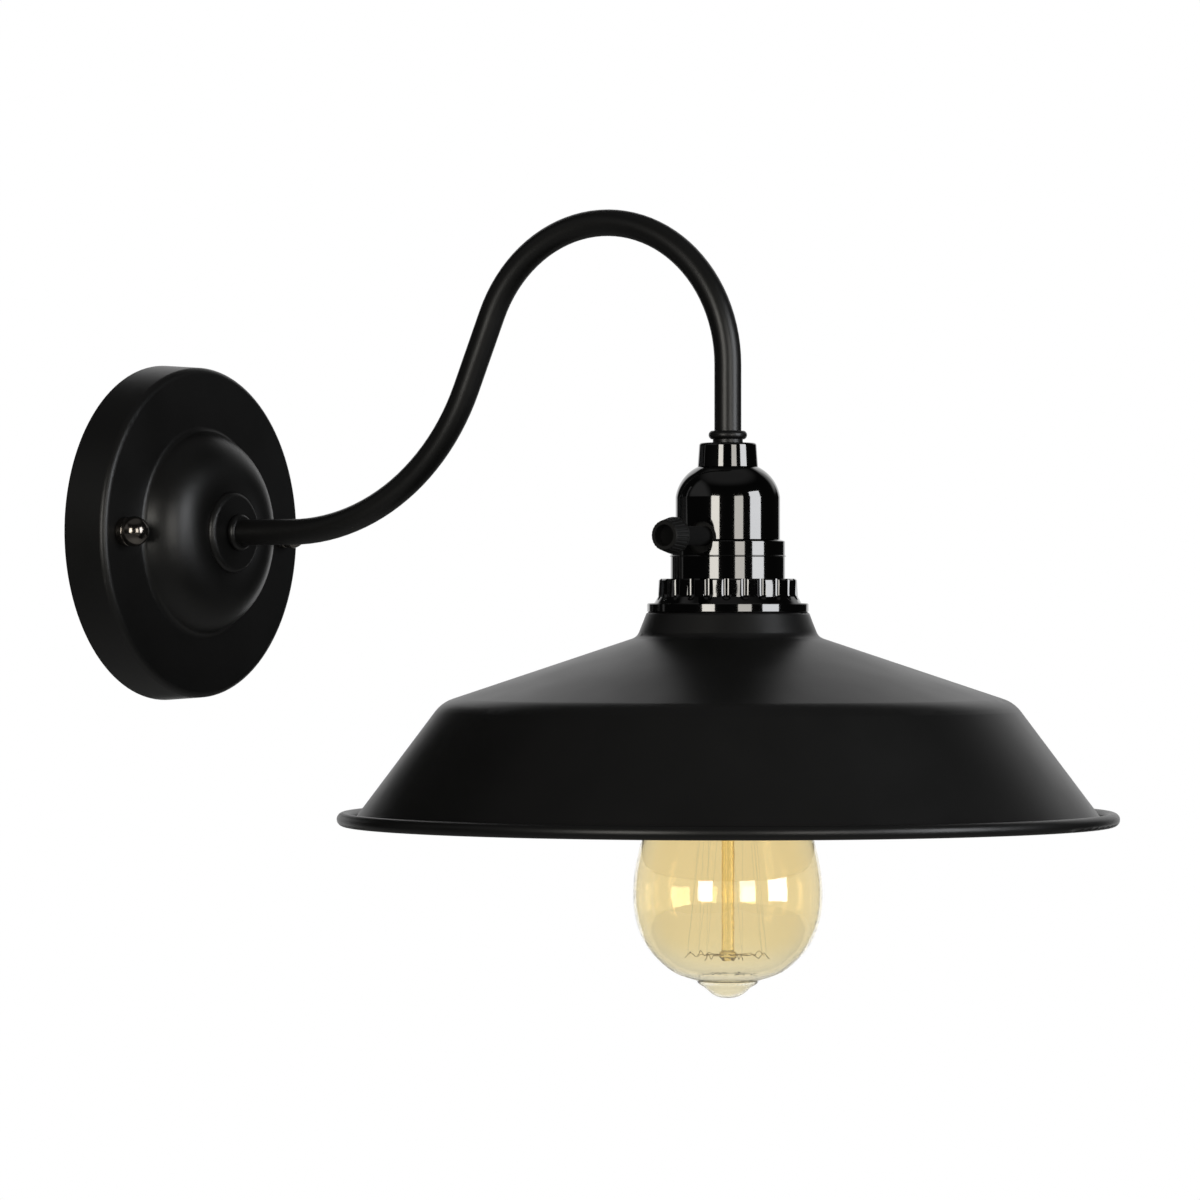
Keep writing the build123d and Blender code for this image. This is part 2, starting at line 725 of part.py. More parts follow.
# Lower shade ring: clamps the shade from inside
with BuildPart() as shade_ring_lower:
    with BuildSketch(lamp_section):
        lower_ring_end = lower_ring_top - lower_ring_height
        with BuildLine():
            Polyline((shade_thread_r, lower_ring_top), (lower_ring_r, lower_ring_top),
                     (lower_ring_r, lower_ring_end + ring_edge),
                     (lower_ring_r - ring_edge, lower_ring_end), (shade_thread_r, lower_ring_end),
                     (shade_thread_r, lower_ring_top))
        make_face()
    revolve(axis=lamp_axis)
    with Locations(lamp_level(lower_ring_end - 1).location):
        with PolarLocations(lower_ring_r + lower_flute_r - lower_flute_depth, flute_count):
            Cylinder(lower_flute_r, lower_ring_height + 2,
                     align=(Align.CENTER, Align.CENTER, Align.MIN), mode=Mode.SUBTRACT)
shade_ring_lower.part.label = "shade_ring_lower"
export_step(shade_ring_lower.part, "parts/shade_ring_lower.step")

# Insulating liner inside the shell
with BuildPart() as insulating_liner:
    with BuildSketch(lamp_level(shell_end + 0.5)):
        Circle(shell_bore_r)
        Circle(shell_bore_r - liner_wall, mode=Mode.SUBTRACT)
    extrude(amount=core_shoulder - shell_end - 0.5)
insulating_liner.part.label = "insulating_liner"
export_step(insulating_liner.part, "parts/insulating_liner.step")

# Porcelain core: shouldered disc with a slot for the switch and two terminal screw holes
with BuildPart() as socket_core:
    with BuildSketch(lamp_section):
        with BuildLine():
            Polyline((0, core_top), (core_r, core_top), (core_r, plug_top), (shell_bore_r, plug_top),
                     (shell_bore_r, core_shoulder), (core_low_r, core_shoulder),
                     (core_low_r, core_bottom), (0, core_bottom), (0, core_top))
        make_face()
    revolve(axis=lamp_axis)
    with BuildSketch(lamp_level(slot_floor)):
        with Locations(((slot_back - shell_bore_r) / 2 - 1, 0)):
            Rectangle(slot_back + shell_bore_r + 2, 2 * slot_half)
    extrude(amount=core_top - slot_floor, mode=Mode.SUBTRACT)
    with BuildSketch(lamp_level(core_top)):
        with Locations((terminal_x, -terminal_y), (terminal_x, terminal_y)):
            Circle(terminal_screw_r)
    extrude(amount=-terminal_screw_depth, mode=Mode.SUBTRACT)
socket_core.part.label = "socket_core"
export_step(socket_core.part, "parts/socket_core.step")

# Two terminal screws on the core
with BuildPart() as core_terminal_screws:
    with BuildSketch(lamp_level(core_top - terminal_screw_depth)):
        with Locations((terminal_x, -terminal_y), (terminal_x, terminal_y)):
            Circle(terminal_screw_r)
    extrude(amount=terminal_screw_depth)
    with BuildSketch(lamp_level(core_top)):
        with Locations((terminal_x, -terminal_y), (terminal_x, terminal_y)):
            Circle(terminal_head_r)
    extrude(amount=terminal_head_height)
    with BuildSketch(lamp_level(core_top + terminal_head_height)):
        with Locations((terminal_x, -terminal_y), (terminal_x, terminal_y)):
            Rectangle(0.7, 2.2 * terminal_head_r)
    extrude(amount=-terminal_head_height / 2, mode=Mode.SUBTRACT)
core_terminal_screws.part.label = "core_terminal_screws"
export_step(core_terminal_screws.part, "parts/core_terminal_screws.step")

# Screw shell of the lampholder: thin sheet rolled to the Edison thread, hung from the core by a flange
with BuildPart() as screw_shell:
    female_r = edison_mean_r + edison_gap
    screw_shell_end = shell_end + 1.0
    with BuildSketch(edison_section(screw_shell_end)):
        Circle(female_r + edison_sheet)
        Circle(female_r, mode=Mode.SUBTRACT)
    sweep(path=edison_helix(screw_shell_end, core_bottom - flange_sheet / 2), normal=(0, 0, 1))
    with BuildSketch(lamp_level(core_bottom - flange_sheet)):
        Circle(female_r + edison_sheet + edison_offset)
        Circle(flange_bore_r, mode=Mode.SUBTRACT)
    extrude(amount=flange_sheet)
screw_shell.part.label = "screw_shell"
export_step(screw_shell.part, "parts/screw_shell.step")

# Centre contact: springy tongue under the core
with BuildPart() as centre_contact:
    with BuildSketch(lamp_section):
        reach_in = flange_bore_r - 2.5
        with BuildLine():
            Polyline((reach_in, core_bottom), (-reach_in + 1, core_bottom),
                     (-reach_in + 1, contact_low + 0.6), (1.2, contact_low), (2.4, contact_low + 0.3),
                     (2.4, contact_low + contact_sheet + 0.3), (1.2, contact_low + contact_sheet),
                     (-reach_in + 1.5, core_bottom - contact_sheet - 0.15),
                     (-reach_in + 1.5, core_bottom - contact_sheet),
                     (reach_in, core_bottom - contact_sheet), (reach_in, core_bottom))
        make_face()
    extrude(amount=2.2, both=True)
centre_contact.part.label = "centre_contact"
export_step(centre_contact.part, "parts/centre_contact.step")

# Turn switch: housing in the core's slot, shaft, square cam and fluted knob
with BuildPart() as switch_housing:
    with BuildSketch(lamp_level(slot_floor)):
        with Locations(((slot_back - housing_face) / 2, 0)):
            Rectangle(slot_back + housing_face, 2 * slot_half)
    extrude(amount=housing_top - slot_floor)
    rod(switch_point(cavity_front), switch_point(cap_r), shaft_r + running_gap, Mode.SUBTRACT)
    rod(switch_point(-cavity_back), switch_point(cavity_front), cavity_r, Mode.SUBTRACT)
    rod(switch_point(-cavity_back - journal_length - 0.6), switch_point(-cavity_back),
        journal_r + running_gap, Mode.SUBTRACT)
switch_housing.part.label = "switch_housing"
export_step(switch_housing.part, "parts/switch_housing.step")

with BuildPart() as switch_shaft:
    rod(switch_point(cavity_front + 0.2), switch_point(shaft_tip), shaft_r)
    rod(switch_point(-cavity_back - journal_length), switch_point(cavity_front + 0.2), journal_r)
switch_shaft.part.label = "switch_shaft"
export_step(switch_shaft.part, "parts/switch_shaft.step")

with BuildPart() as switch_cam:
    cam_start = (cavity_front - cavity_back - cam_length) / 2
    with BuildSketch(Plane(origin=switch_point(cam_start), x_dir=(0, 1, 0), z_dir=(-1, 0, 0))):
        RectangleRounded(cam_side, cam_side, cam_side * 0.18)
        Circle(journal_r, mode=Mode.SUBTRACT)
    extrude(amount=cam_length)
switch_cam.part.label = "switch_cam"
export_step(switch_cam.part, "parts/switch_cam.step")

with BuildPart() as switch_knob:
    with BuildSketch(Plane(origin=switch_point(0), x_dir=(-1, 0, 0), z_dir=(0, 1, 0))):
        recess_floor = knob_face - knob_recess_depth
        with BuildLine():
            Polyline((knob_back, shaft_r), (knob_back, knob_back_r - 0.3),
                     (knob_back + 0.3, knob_back_r), (knob_back + knob_band, knob_back_r),
                     (knob_face - 0.4, knob_face_r), (knob_face, knob_face_r - 0.35),
                     (knob_face, knob_recess_r), (recess_floor, knob_recess_r), (recess_floor, 0),
                     (shaft_tip, 0), (shaft_tip, shaft_r), (knob_back, shaft_r))
        make_face()
    revolve(axis=switch_axis)
    for k in range(knob_grooves):
        turn = 2 * pi * k / knob_grooves
        out = Vector(0, sin(turn), cos(turn))
        low = Vector(*switch_point(knob_back + knob_band + 0.2)) + out * (knob_back_r + 0.2)
        high = Vector(*switch_point(knob_face + 0.5)) + out * (knob_face_r + 0.1)
        rod(tuple(low), tuple(high), knob_groove_r, Mode.SUBTRACT)
switch_knob.part.label = "switch_knob"
export_step(switch_knob.part, "parts/switch_knob.step")

# Shade: spun sheet with a neck, a wide cone, a steep skirt and a rim rolled up round a wire
with BuildPart() as shade:
    with BuildSketch(lamp_section):
        with BuildLine() as shade_line:
            Polyline((shade_hole_r, shade_seat), (shade_neck_r, shade_seat), neck_foot, brow,
                     skirt_foot, (rim_r, skirt_foot[1]))
            fillet(shade_line.vertices().sort_by_distance((shade_neck_r, shade_seat))[0],
                   1.2 * shade_sheet)
            fillet(shade_line.vertices().sort_by_distance(neck_foot)[0], 3.5 * shade_sheet)
            fillet(shade_line.vertices().sort_by_distance(brow)[0], 12.0 * shade_sheet)
            fillet(shade_line.vertices().sort_by_distance(skirt_foot)[0], 1.5 * shade_sheet)
            offset(amount=shade_sheet, side=Side.RIGHT)
        make_face()
        with Locations((rim_r, rim_height)):
            Circle(rim_bead_r)
    revolve(axis=lamp_axis)
shade.part.label = "shade"
export_step(shade.part, "parts/shade.step")

# Bulb cap: thin sheet Edison thread with a closed shoulder and a plain skirt around the glass
with BuildPart() as bulb_cap:
    shoulder_r = edison_mean_r - edison_offset - 0.05
    skirt_bore_r = cap_skirt_r - edison_sheet
    ring_in_r = edison_mean_r - edison_offset - edison_sheet - 0.15
    with BuildSketch(edison_section(thread_end)):
        Circle(edison_mean_r)
        Circle(edison_mean_r - edison_sheet, mode=Mode.SUBTRACT)
    sweep(path=edison_helix(thread_end, thread_top), normal=(0, 0, 1))
    with BuildSketch(edison_section(thread_top - 0.5)):
        Circle(edison_mean_r)
    sweep(path=edison_helix(thread_top - 0.5, thread_top), normal=(0, 0, 1))
    with BuildSketch(lamp_section):
        with BuildLine():
            Polyline((insulator_r - 0.5, thread_top - 0.1), (shoulder_r, thread_top - 0.1),
                     (insulator_r + edison_sheet, thread_top + shoulder_height),
                     (insulator_r - 0.5, thread_top + shoulder_height),
                     (insulator_r - 0.5, thread_top - 0.1))
        make_face()
        with BuildLine():
            Polyline((ring_in_r, thread_end + 0.2), (cap_skirt_r, thread_end + 0.2),
                     (cap_skirt_r, thread_end - cap_skirt_length),
                     (skirt_bore_r, thread_end - cap_skirt_length), (skirt_bore_r, thread_end - 0.3),
                     (ring_in_r, thread_end - 0.3), (ring_in_r, thread_end + 0.2))
        make_face()
    revolve(axis=lamp_axis)
    rod((0, -reach, thread_top - 2), (0, -reach, thread_top + 2 * shoulder_height), insulator_r,
        Mode.SUBTRACT)
bulb_cap.part.label = "bulb_cap"
export_step(bulb_cap.part, "parts/bulb_cap.step")

# Black glass insulator and tin contact on top of the cap
insulator_low = thread_top - 0.4
contact_stem_low = thread_top - 0.2
with BuildPart() as bulb_insulator:
    with BuildSketch(lamp_section):
        with BuildLine():
            Polyline((contact_stem_r, insulator_top), (bulb_contact_r + 0.5, insulator_top),
                     (insulator_r - running_gap, thread_top + shoulder_height),
                     (insulator_r - running_gap, insulator_low), (contact_stem_r, insulator_low),
                     (contact_stem_r, insulator_top))
        make_face()
    revolve(axis=lamp_axis)
bulb_insulator.part.label = "bulb_insulator"
export_step(bulb_insulator.part, "parts/bulb_insulator.step")

with BuildPart() as bulb_contact:
    with BuildSketch(lamp_section):
        with BuildLine():
            Polyline((0, bulb_contact_top), (bulb_contact_r - 1.5, bulb_contact_top),
                     (bulb_contact_r, insulator_top + 0.3), (bulb_contact_r, insulator_top),
                     (contact_stem_r, insulator_top), (contact_stem_r, contact_stem_low),
                     (0, contact_stem_low), (0, bulb_contact_top))
        make_face()
    revolve(axis=lamp_axis)
bulb_contact.part.label = "bulb_contact"
export_step(bulb_contact.part, "parts/bulb_contact.step")

# Bulb glass: teardrop with a small moulded tip. Its outline is given by how far it swells from the neck
# to the full width, and by the share of the glass's length above the tip.
body_shares = [(0, 0.9594), (0.0684, 0.86), (0.3211, 0.7044), (0.6579, 0.5575), (0.8895, 0.4356),
               (1, 0.2878), (0.7053, 0.1392), (0.3737, 0.0856), (-0.0895, 0.0527)]
tip_shares = [(-0.1421, 0.0493), (-0.2474, 0.0337), (-0.3842, 0.0156)]


def glass_point(share):
    return (neck_glass_r + share[0] * (glass_r - neck_glass_r), bulb_tip + share[1] * glass_length)


body_line = [glass_point(share) for share in body_shares]
tip_line = [glass_point(share) for share in tip_shares] + [(0, bulb_tip)]
body_inner = inset(body_line, glass_wall)
tip_inner = inset(tip_line, glass_wall)
glass_bore_r = neck_glass_r - glass_wall
with BuildPart() as bulb_glass:
    with BuildSketch(lamp_section):
        with BuildLine():
            Line((neck_glass_r, glass_top), body_line[0])
            Spline(*body_line, tangents=((0, -1), (-1, -0.28)))
            Line(body_line[-1], tip_line[0])
            Spline(*tip_line, tangents=((-0.3, -1), (-1, 0)))
            Line(tip_line[-1], (0, tip_inner[-1][1]))
            Spline(*tip_inner[:-1], (0, tip_inner[-1][1]), tangents=((-0.3, -1), (-1, 0)))
            Line(tip_inner[0], body_inner[-1])
            Spline(*body_inner, tangents=((0, -1), (-1, -0.28)))
            Polyline(body_inner[0], (glass_bore_r, body_inner[0][1] + 1), (glass_bore_r, glass_top),
                     (neck_glass_r, glass_top))
        make_face()
    revolve(axis=lamp_axis)
bulb_glass.part.label = "bulb_glass"
export_step(bulb_glass.part, "parts/bulb_glass.step")

# Lead wires from the cap and the contact through the stem's press to the filament
flare_top = glass_top - 0.4
press_top = flare_top - 13.8
press_end = press_top - 8.0
lead_tip = upper_hook_height + 1.0
with BuildPart() as lead_wires:
    bend = press_end - 3.0
    bent_wire([(0, -reach, contact_stem_low - 0.4), (0, -reach + lead_offset, flare_top),
               (0, -reach + lead_offset, bend), (upper_hook_r, -reach + lead_offset * 0.75, lead_tip)],
              lead_r)
    bent_wire([(0, -reach - insulator_r + 0.1, thread_end + 1.8), (0, -reach - 6.0, flare_top),
               (0, -reach - lead_offset, flare_top - 8), (0, -reach - lead_offset, bend),
               (upper_hook_r, -reach - lead_offset * 0.75, lead_tip)], lead_r)
lead_wires.part.label = "lead_wires"
export_step(lead_wires.part, "parts/lead_wires.step")

# Glass stem: hollow flare sealed in the neck, press, rod and a small hub at its foot
with BuildPart() as bulb_stem:
    with BuildSketch(lamp_section):
        flare_wall = glass_wall
        with BuildLine():
            Spline((glass_bore_r, flare_top), (press_r, press_top), tangents=((-0.1, -1), (0, -1)))
            Polyline((press_r, press_top), (press_r, press_end), (stem_r, press_end - 4),
                     (stem_r, hub_height + 1.4), (hub_r, hub_height + 0.8), (hub_r, hub_height - 0.8),
                     (stem_r, hub_height - 1.8), (0, hub_height - 2.0), (0, press_top - 1),
                     (press_r - flare_wall, press_top))
            Spline((press_r - flare_wall, press_top), (glass_bore_r - flare_wall, flare_top),
                   tangents=((0, 1), (0.1, 1)))
            Line((glass_bore_r - flare_wall, flare_top), (glass_bore_r, flare_top))
        make_face()
    revolve(axis=lamp_axis)
    add(lead_wires.part, mode=Mode.SUBTRACT)
bulb_stem.part.label = "bulb_stem"
export_step(bulb_stem.part, "parts/bulb_stem.step")

# Wire hooks that hold the filament, around the hub and around the top of the rod
with BuildPart() as filament_supports:
    for k in range(strand_count):
        turn = 2 * pi * (k + 0.5) / strand_count
        bent_wire([around(hub_r - 0.6, turn, hub_height), around(lower_hook_r - 2.6, turn, hub_height),
                   around(lower_hook_r - 1.4, turn, hub_height + 1.4),
                   around(lower_hook_r, turn, hub_height - 0.9)], hook_wire_r)
    for k in range(strand_count - 1):
        turn = 2 * pi * (k + 1) / strand_count
        bent_wire([around(stem_r - 0.4, turn, upper_hook_height),
                   around(upper_hook_r - 0.8, turn, upper_hook_height),
                   around(upper_hook_r, turn, upper_hook_height + 0.9)], hook_wire_r)
    add(bulb_stem.part, mode=Mode.SUBTRACT)
filament_supports.part.label = "filament_supports"
export_step(filament_supports.part, "parts/filament_supports.step")

# Filament: one wire strung up and down between the two rings of hooks
with BuildPart() as filament:
    strands = [(upper_hook_r + 0.2, -reach + lead_offset * 0.75, lead_tip - strand_gap)]
    for k in range(strand_count):
        strands.append(around(lower_hook_r + strand_gap, 2 * pi * (k + 0.5) / strand_count,
                              hub_height - 1.0))
        if k < strand_count - 1:
            strands.append(around(upper_hook_r + strand_gap, 2 * pi * (k + 1) / strand_count,
                                  upper_hook_height + 1.0))
    strands.append((upper_hook_r + 0.2, -reach - lead_offset * 0.75, lead_tip - strand_gap))
    bent_wire(strands, strand_r)
filament.part.label = "filament"
export_step(filament.part, "parts/filament.step")
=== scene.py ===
import math

import bpy
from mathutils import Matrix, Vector


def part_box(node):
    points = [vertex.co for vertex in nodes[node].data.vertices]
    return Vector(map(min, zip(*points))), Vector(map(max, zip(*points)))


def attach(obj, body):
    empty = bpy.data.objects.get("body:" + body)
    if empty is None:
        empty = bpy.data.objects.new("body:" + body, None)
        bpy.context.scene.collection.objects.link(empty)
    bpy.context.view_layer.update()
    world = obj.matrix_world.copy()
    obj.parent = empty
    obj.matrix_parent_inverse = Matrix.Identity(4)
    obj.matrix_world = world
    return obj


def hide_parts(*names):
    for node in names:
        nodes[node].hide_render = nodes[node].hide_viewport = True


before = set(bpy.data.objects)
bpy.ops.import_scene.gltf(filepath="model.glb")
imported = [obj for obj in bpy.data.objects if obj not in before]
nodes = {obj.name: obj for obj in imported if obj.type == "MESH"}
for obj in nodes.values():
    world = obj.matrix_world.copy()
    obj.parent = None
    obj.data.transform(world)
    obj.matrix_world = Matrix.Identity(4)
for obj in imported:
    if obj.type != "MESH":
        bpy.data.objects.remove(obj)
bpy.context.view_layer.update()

# Camera of the photograph: level, beside the arm, from the light's left
view_turn = math.radians(-57.711)
view_rise = math.radians(0.009)
view_distance = 2.0358
view_aim = Vector((0, -0.1812, -0.02367))
view_lens = 181.2
towards_camera = Vector((math.sin(view_turn) * math.cos(view_rise), -math.cos(view_turn) * math.cos(view_rise),
                         math.sin(view_rise)))
view_right = Vector((math.cos(view_turn), math.sin(view_turn), 0))

# Places on the object, in metres
cap_low, cap_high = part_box("socket_cap")
lamp_axis = Vector((0, (cap_low.y + cap_high.y) / 2, 0))
knob_low, knob_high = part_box("switch_knob")
switch_axis = (knob_low + knob_high) / 2
knob_recess_r = 0.0036
enamel_r = 0.1248
bulb_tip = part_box("bulb_glass")[0].z


def operator(operation):
    """An operator of Value, and its reflected form for a value on the right."""

    def forward(self, other):
        return self.maths(operation, self, other)

    def reflected(self, other):
        return self.maths(operation, other, self)

    return forward, reflected


class Value:
    """A socket of a node tree. Arithmetic on it adds Math nodes."""

    __add__, __radd__ = operator("ADD")
    __sub__, __rsub__ = operator("SUBTRACT")
    __mul__, __rmul__ = operator("MULTIPLY")
    __truediv__, __rtruediv__ = operator("DIVIDE")
    __pow__, __rpow__ = operator("POWER")
    __or__, __ror__ = operator("MAXIMUM")
    __and__, __rand__ = operator("MINIMUM")
    __lt__, __gt__ = operator("LESS_THAN")

    def __init__(self, tree, socket):
        self.tree = tree
        self.socket = socket

    def maths(self, operation, first, second=0.0):
        return self.tree.add("ShaderNodeMath", {"operation": operation}, {0: first, 1: second})

    def sine(self):
        return self.maths("SINE", self)


class Tree:
    """A node tree with one way to add a node: its settings first, then the values or links of its sockets."""

    def __init__(self, node_tree):
        self.nodes = node_tree.nodes
        self.links = node_tree.links
        self.nodes.clear()

    def add(self, kind, settings=None, inputs=None, output=0):
        node = self.nodes.new(kind)
        for name, setting in (settings or {}).items():
            setattr(node, name, setting)
        for name, value in (inputs or {}).items():
            if isinstance(value, Value):
                self.links.new(value.socket, node.inputs[name])
            else:
                node.inputs[name].default_value = value
        return None if output is None else Value(self, node.outputs[output])

    def outputs(self, value):
        """All the outputs of the node that a value comes from, by name."""
        return {socket.name: Value(self, socket) for socket in value.socket.node.outputs if socket.name}

    def place(self):
        return self.add("ShaderNodeTexCoord", output="Object")

    def parts(self, vector):
        return list(self.outputs(self.add("ShaderNodeSeparateXYZ", {}, {0: vector})).values())

    def noise(self, scale, detail, vector=None):
        where = vector or self.place()
        return self.add("ShaderNodeTexNoise", {}, {"Vector": where, "Scale": scale, "Detail": detail})

    def stretched(self, along):
        return self.add("ShaderNodeMapping", {}, {"Vector": self.place(), "Scale": along})

    def ease(self, value, low, high, start, end):
        settings = {"interpolation_type": "SMOOTHSTEP", "clamp": True}
        return self.add("ShaderNodeMapRange", settings, {"Value": value, "From Min": low, "From Max": high,
                                                         "To Min": start, "To Max": end})

    def rise(self, value, low, high, top=1.0):
        """Nothing below low, and the top from high on."""
        return self.ease(value, low, high, 0.0, top)

    def fall(self, value, low, high, top=1.0):
        """The top up to low, and nothing from high on."""
        return self.ease(value, low, high, top, 0.0)

    def blend(self, factor, first, second):
        return self.add("ShaderNodeMix", {"data_type": "RGBA"}, {0: factor, 6: first, 7: second}, output=2)

    def facing(self):
        return self.add("ShaderNodeLayerWeight", {}, {"Blend": 0.5}, output="Facing")

    def relief(self, height, depth, strength):
        return self.add("ShaderNodeBump", {}, {"Height": height, "Distance": depth, "Strength": strength})

    def unlit(self):
        """One for rays that look at the backdrop itself or see it through glass."""
        straight = self.add("ShaderNodeLightPath", output="Is Camera Ray")
        through = self.add("ShaderNodeLightPath", output="Is Transmission Ray")
        return straight | through


def rgb(r, g, b):
    return (r, g, b, 1)


class Finish(Tree):
    """A material. close() ends it in one Principled shader, end() in any shader."""

    def __init__(self, name):
        self.material = bpy.data.materials.new(name)
        self.material.use_nodes = True
        super().__init__(self.material.node_tree)

    def close(self, **sockets):
        inputs = {name.replace("_", " ").title(): value for name, value in sockets.items()}
        if "Ior" in inputs:
            inputs["IOR"] = inputs.pop("Ior")
        return self.end(self.add("ShaderNodeBsdfPrincipled", {}, inputs))

    def end(self, shader):
        self.add("ShaderNodeOutputMaterial", {}, {"Surface": shader}, output=None)
        return self.material


def coated(finish):
    """Powder coat: soft black with a fine orange peel and faint cloudy changes of gloss."""
    peel = finish.noise(scale=1400, detail=2)
    cloud = finish.noise(scale=38, detail=3)
    speck = finish.noise(scale=5200, detail=1)
    colour = finish.blend(cloud, rgb(0.003, 0.003, 0.003), rgb(0.005, 0.005, 0.0048))
    rough = 0.31 + cloud * 0.1 + speck * 0.05
    return colour, rough, finish.relief(peel + speck * 0.4, depth=0.00004, strength=0.35)


def powder_coat():
    finish = Finish("black_powder_coat")
    colour, rough, normal = coated(finish)
    return finish.close(base_color=colour, roughness=rough, normal=normal, ior=1.5)


def shade_coat():
    """Black outside, white enamel inside. The inside is every face that looks in or down, short of the rim bead."""
    finish = Finish("shade_coat")
    colour, rough, normal = coated(finish)
    x, y = finish.parts(finish.place())[:2]
    away_y = y - lamp_axis.y
    away = (x * x + away_y * away_y) ** 0.5
    look_x, look_y, look_z = finish.parts(finish.add("ShaderNodeNewGeometry", output="Normal"))
    outward = (look_x * x + look_y * away_y) / (away | 0.001)
    lean_out, lean_up = 0.5, 0.87
    inside = ((outward * lean_out + look_z * lean_up) < 0) & (away < enamel_r)
    drift = finish.noise(scale=26, detail=3)
    enamel = finish.blend(drift, rgb(0.72, 0.70, 0.66), rgb(0.79, 0.78, 0.74))
    colour = finish.blend(inside, colour, enamel)
    rough = rough + inside * (0.28 - rough)
    return finish.close(base_color=colour, roughness=rough, normal=normal, ior=1.5)


def black_chrome():
    finish = Finish("black_chrome")
    haze = finish.noise(scale=60, detail=3)
    line = finish.noise(scale=1.0, detail=3, vector=finish.stretched((300, 300, 9000)))
    colour = finish.blend(haze, rgb(0.1, 0.1, 0.1), rgb(0.124, 0.122, 0.12))
    return finish.close(base_color=colour, metallic=1.0, roughness=0.035 + haze * 0.04 + line * 0.02,
                        normal=finish.relief(line, depth=0.000004, strength=0.25))


def metal(name, low, high, rough, spread, grain=900, depth=0.00001):
    finish = Finish(name)
    drift = finish.noise(scale=90, detail=3)
    mark = finish.noise(scale=1.0, detail=3, vector=finish.stretched((grain, grain, grain)))
    colour = finish.blend(drift, rgb(*low), rgb(*high))
    return finish.close(base_color=colour, metallic=1.0, roughness=rough + drift * spread + mark * spread,
                        normal=finish.relief(mark, depth=depth, strength=0.3))


def moulded(name, low, high, rough, depth=0.00002, scale=1800):
    finish = Finish(name)
    drift = finish.noise(scale=70, detail=3)
    grain = finish.noise(scale=scale, detail=2)
    colour = finish.blend(drift, rgb(*low), rgb(*high))
    return finish.close(base_color=colour, roughness=rough + grain * 0.12,
                        normal=finish.relief(grain, depth=depth, strength=0.4))


def knob_plastic():
    """Dull black plastic, matt in the round recess of the knob's face, where painted shade darkens it."""
    finish = Finish("knob_black")
    y, z = finish.parts(finish.place())[1:]
    away_y = y - switch_axis.y
    away_z = z - switch_axis.z
    painted_recess_shade = (away_y * away_y + away_z * away_z) < knob_recess_r ** 2
    grain = finish.noise(scale=1800, detail=2)
    drift = finish.noise(scale=70, detail=3)
    colour = finish.blend(drift, rgb(0.0028, 0.0028, 0.0028), rgb(0.005, 0.005, 0.0048))
    # painted shade: the round recess of the knob's face is coloured near black, as if shade fills it
    colour = finish.blend(painted_recess_shade, colour, rgb(0.0008, 0.0008, 0.0008))
    return finish.close(base_color=colour, roughness=(0.5 + grain * 0.12) | painted_recess_shade * 0.95,
                        normal=finish.relief(grain, depth=0.00002, strength=0.4), ior=1.36)


def amber_glass():
    """Amber bulb glass, paler towards the belly and the tip, with a painted pale sheen towards its outline where it
    turns from view, and the slow waves of blown glass.
    """
    finish = Finish("amber_glass")
    height = finish.parts(finish.place())[2] - bulb_tip
    wave = finish.noise(scale=26, detail=2, vector=finish.stretched((1, 1, 0.35)))
    belly = finish.fall(height, 0.010, 0.038)
    tip = finish.fall(height, 0.002, 0.020)
    # painted sheen: the glass is coloured paler towards its outline, where it turns away from view, and its coat is
    # thinned there
    painted_edge = finish.rise(finish.facing(), 0.25, 0.75, 0.9)
    colour = finish.blend(wave, rgb(0.925, 0.815, 0.56), rgb(0.945, 0.845, 0.6))
    colour = finish.blend(belly, colour, rgb(0.958, 0.862, 0.605))
    colour = finish.blend(tip, colour, rgb(0.98, 0.925, 0.745))
    colour = finish.blend(painted_edge, colour, rgb(1.0, 0.955, 0.8))
    return finish.close(base_color=colour, roughness=0.0, transmission_weight=1.0, ior=1.5,
                        coat_weight=1 - painted_edge, coat_roughness=0.0,
                        normal=finish.relief(wave, depth=0.0006, strength=0.25))


def hair_wire():
    """The filament, finer than its solid, so it lets most of the light past."""
    finish = Finish("hair_filament")
    drift = finish.noise(scale=200, detail=2)
    colour = finish.blend(drift, rgb(0.3, 0.2, 0.09), rgb(0.4, 0.28, 0.14))
    return finish.close(base_color=colour, roughness=0.4 + drift * 0.2, alpha=0.09 + drift * 0.05)


def stem_glass():
    """Amber rod, with painted shade that darkens it towards its outline, where it turns away from view."""
    finish = Finish("stem_glass")
    ripple = finish.noise(scale=120, detail=2)
    # painted shade: the rod is coloured darker towards its outline, where it turns away from view
    painted_edge = finish.rise(finish.facing(), 0.25, 0.5)
    colour = finish.blend(ripple, rgb(0.88, 0.77, 0.47), rgb(0.91, 0.81, 0.53))
    colour = finish.blend(painted_edge, colour, rgb(0.42, 0.3, 0.13))
    return finish.close(base_color=colour, roughness=0.0, transmission_weight=1.0, ior=1.5,
                        normal=finish.relief(ripple, depth=0.0002, strength=0.3))


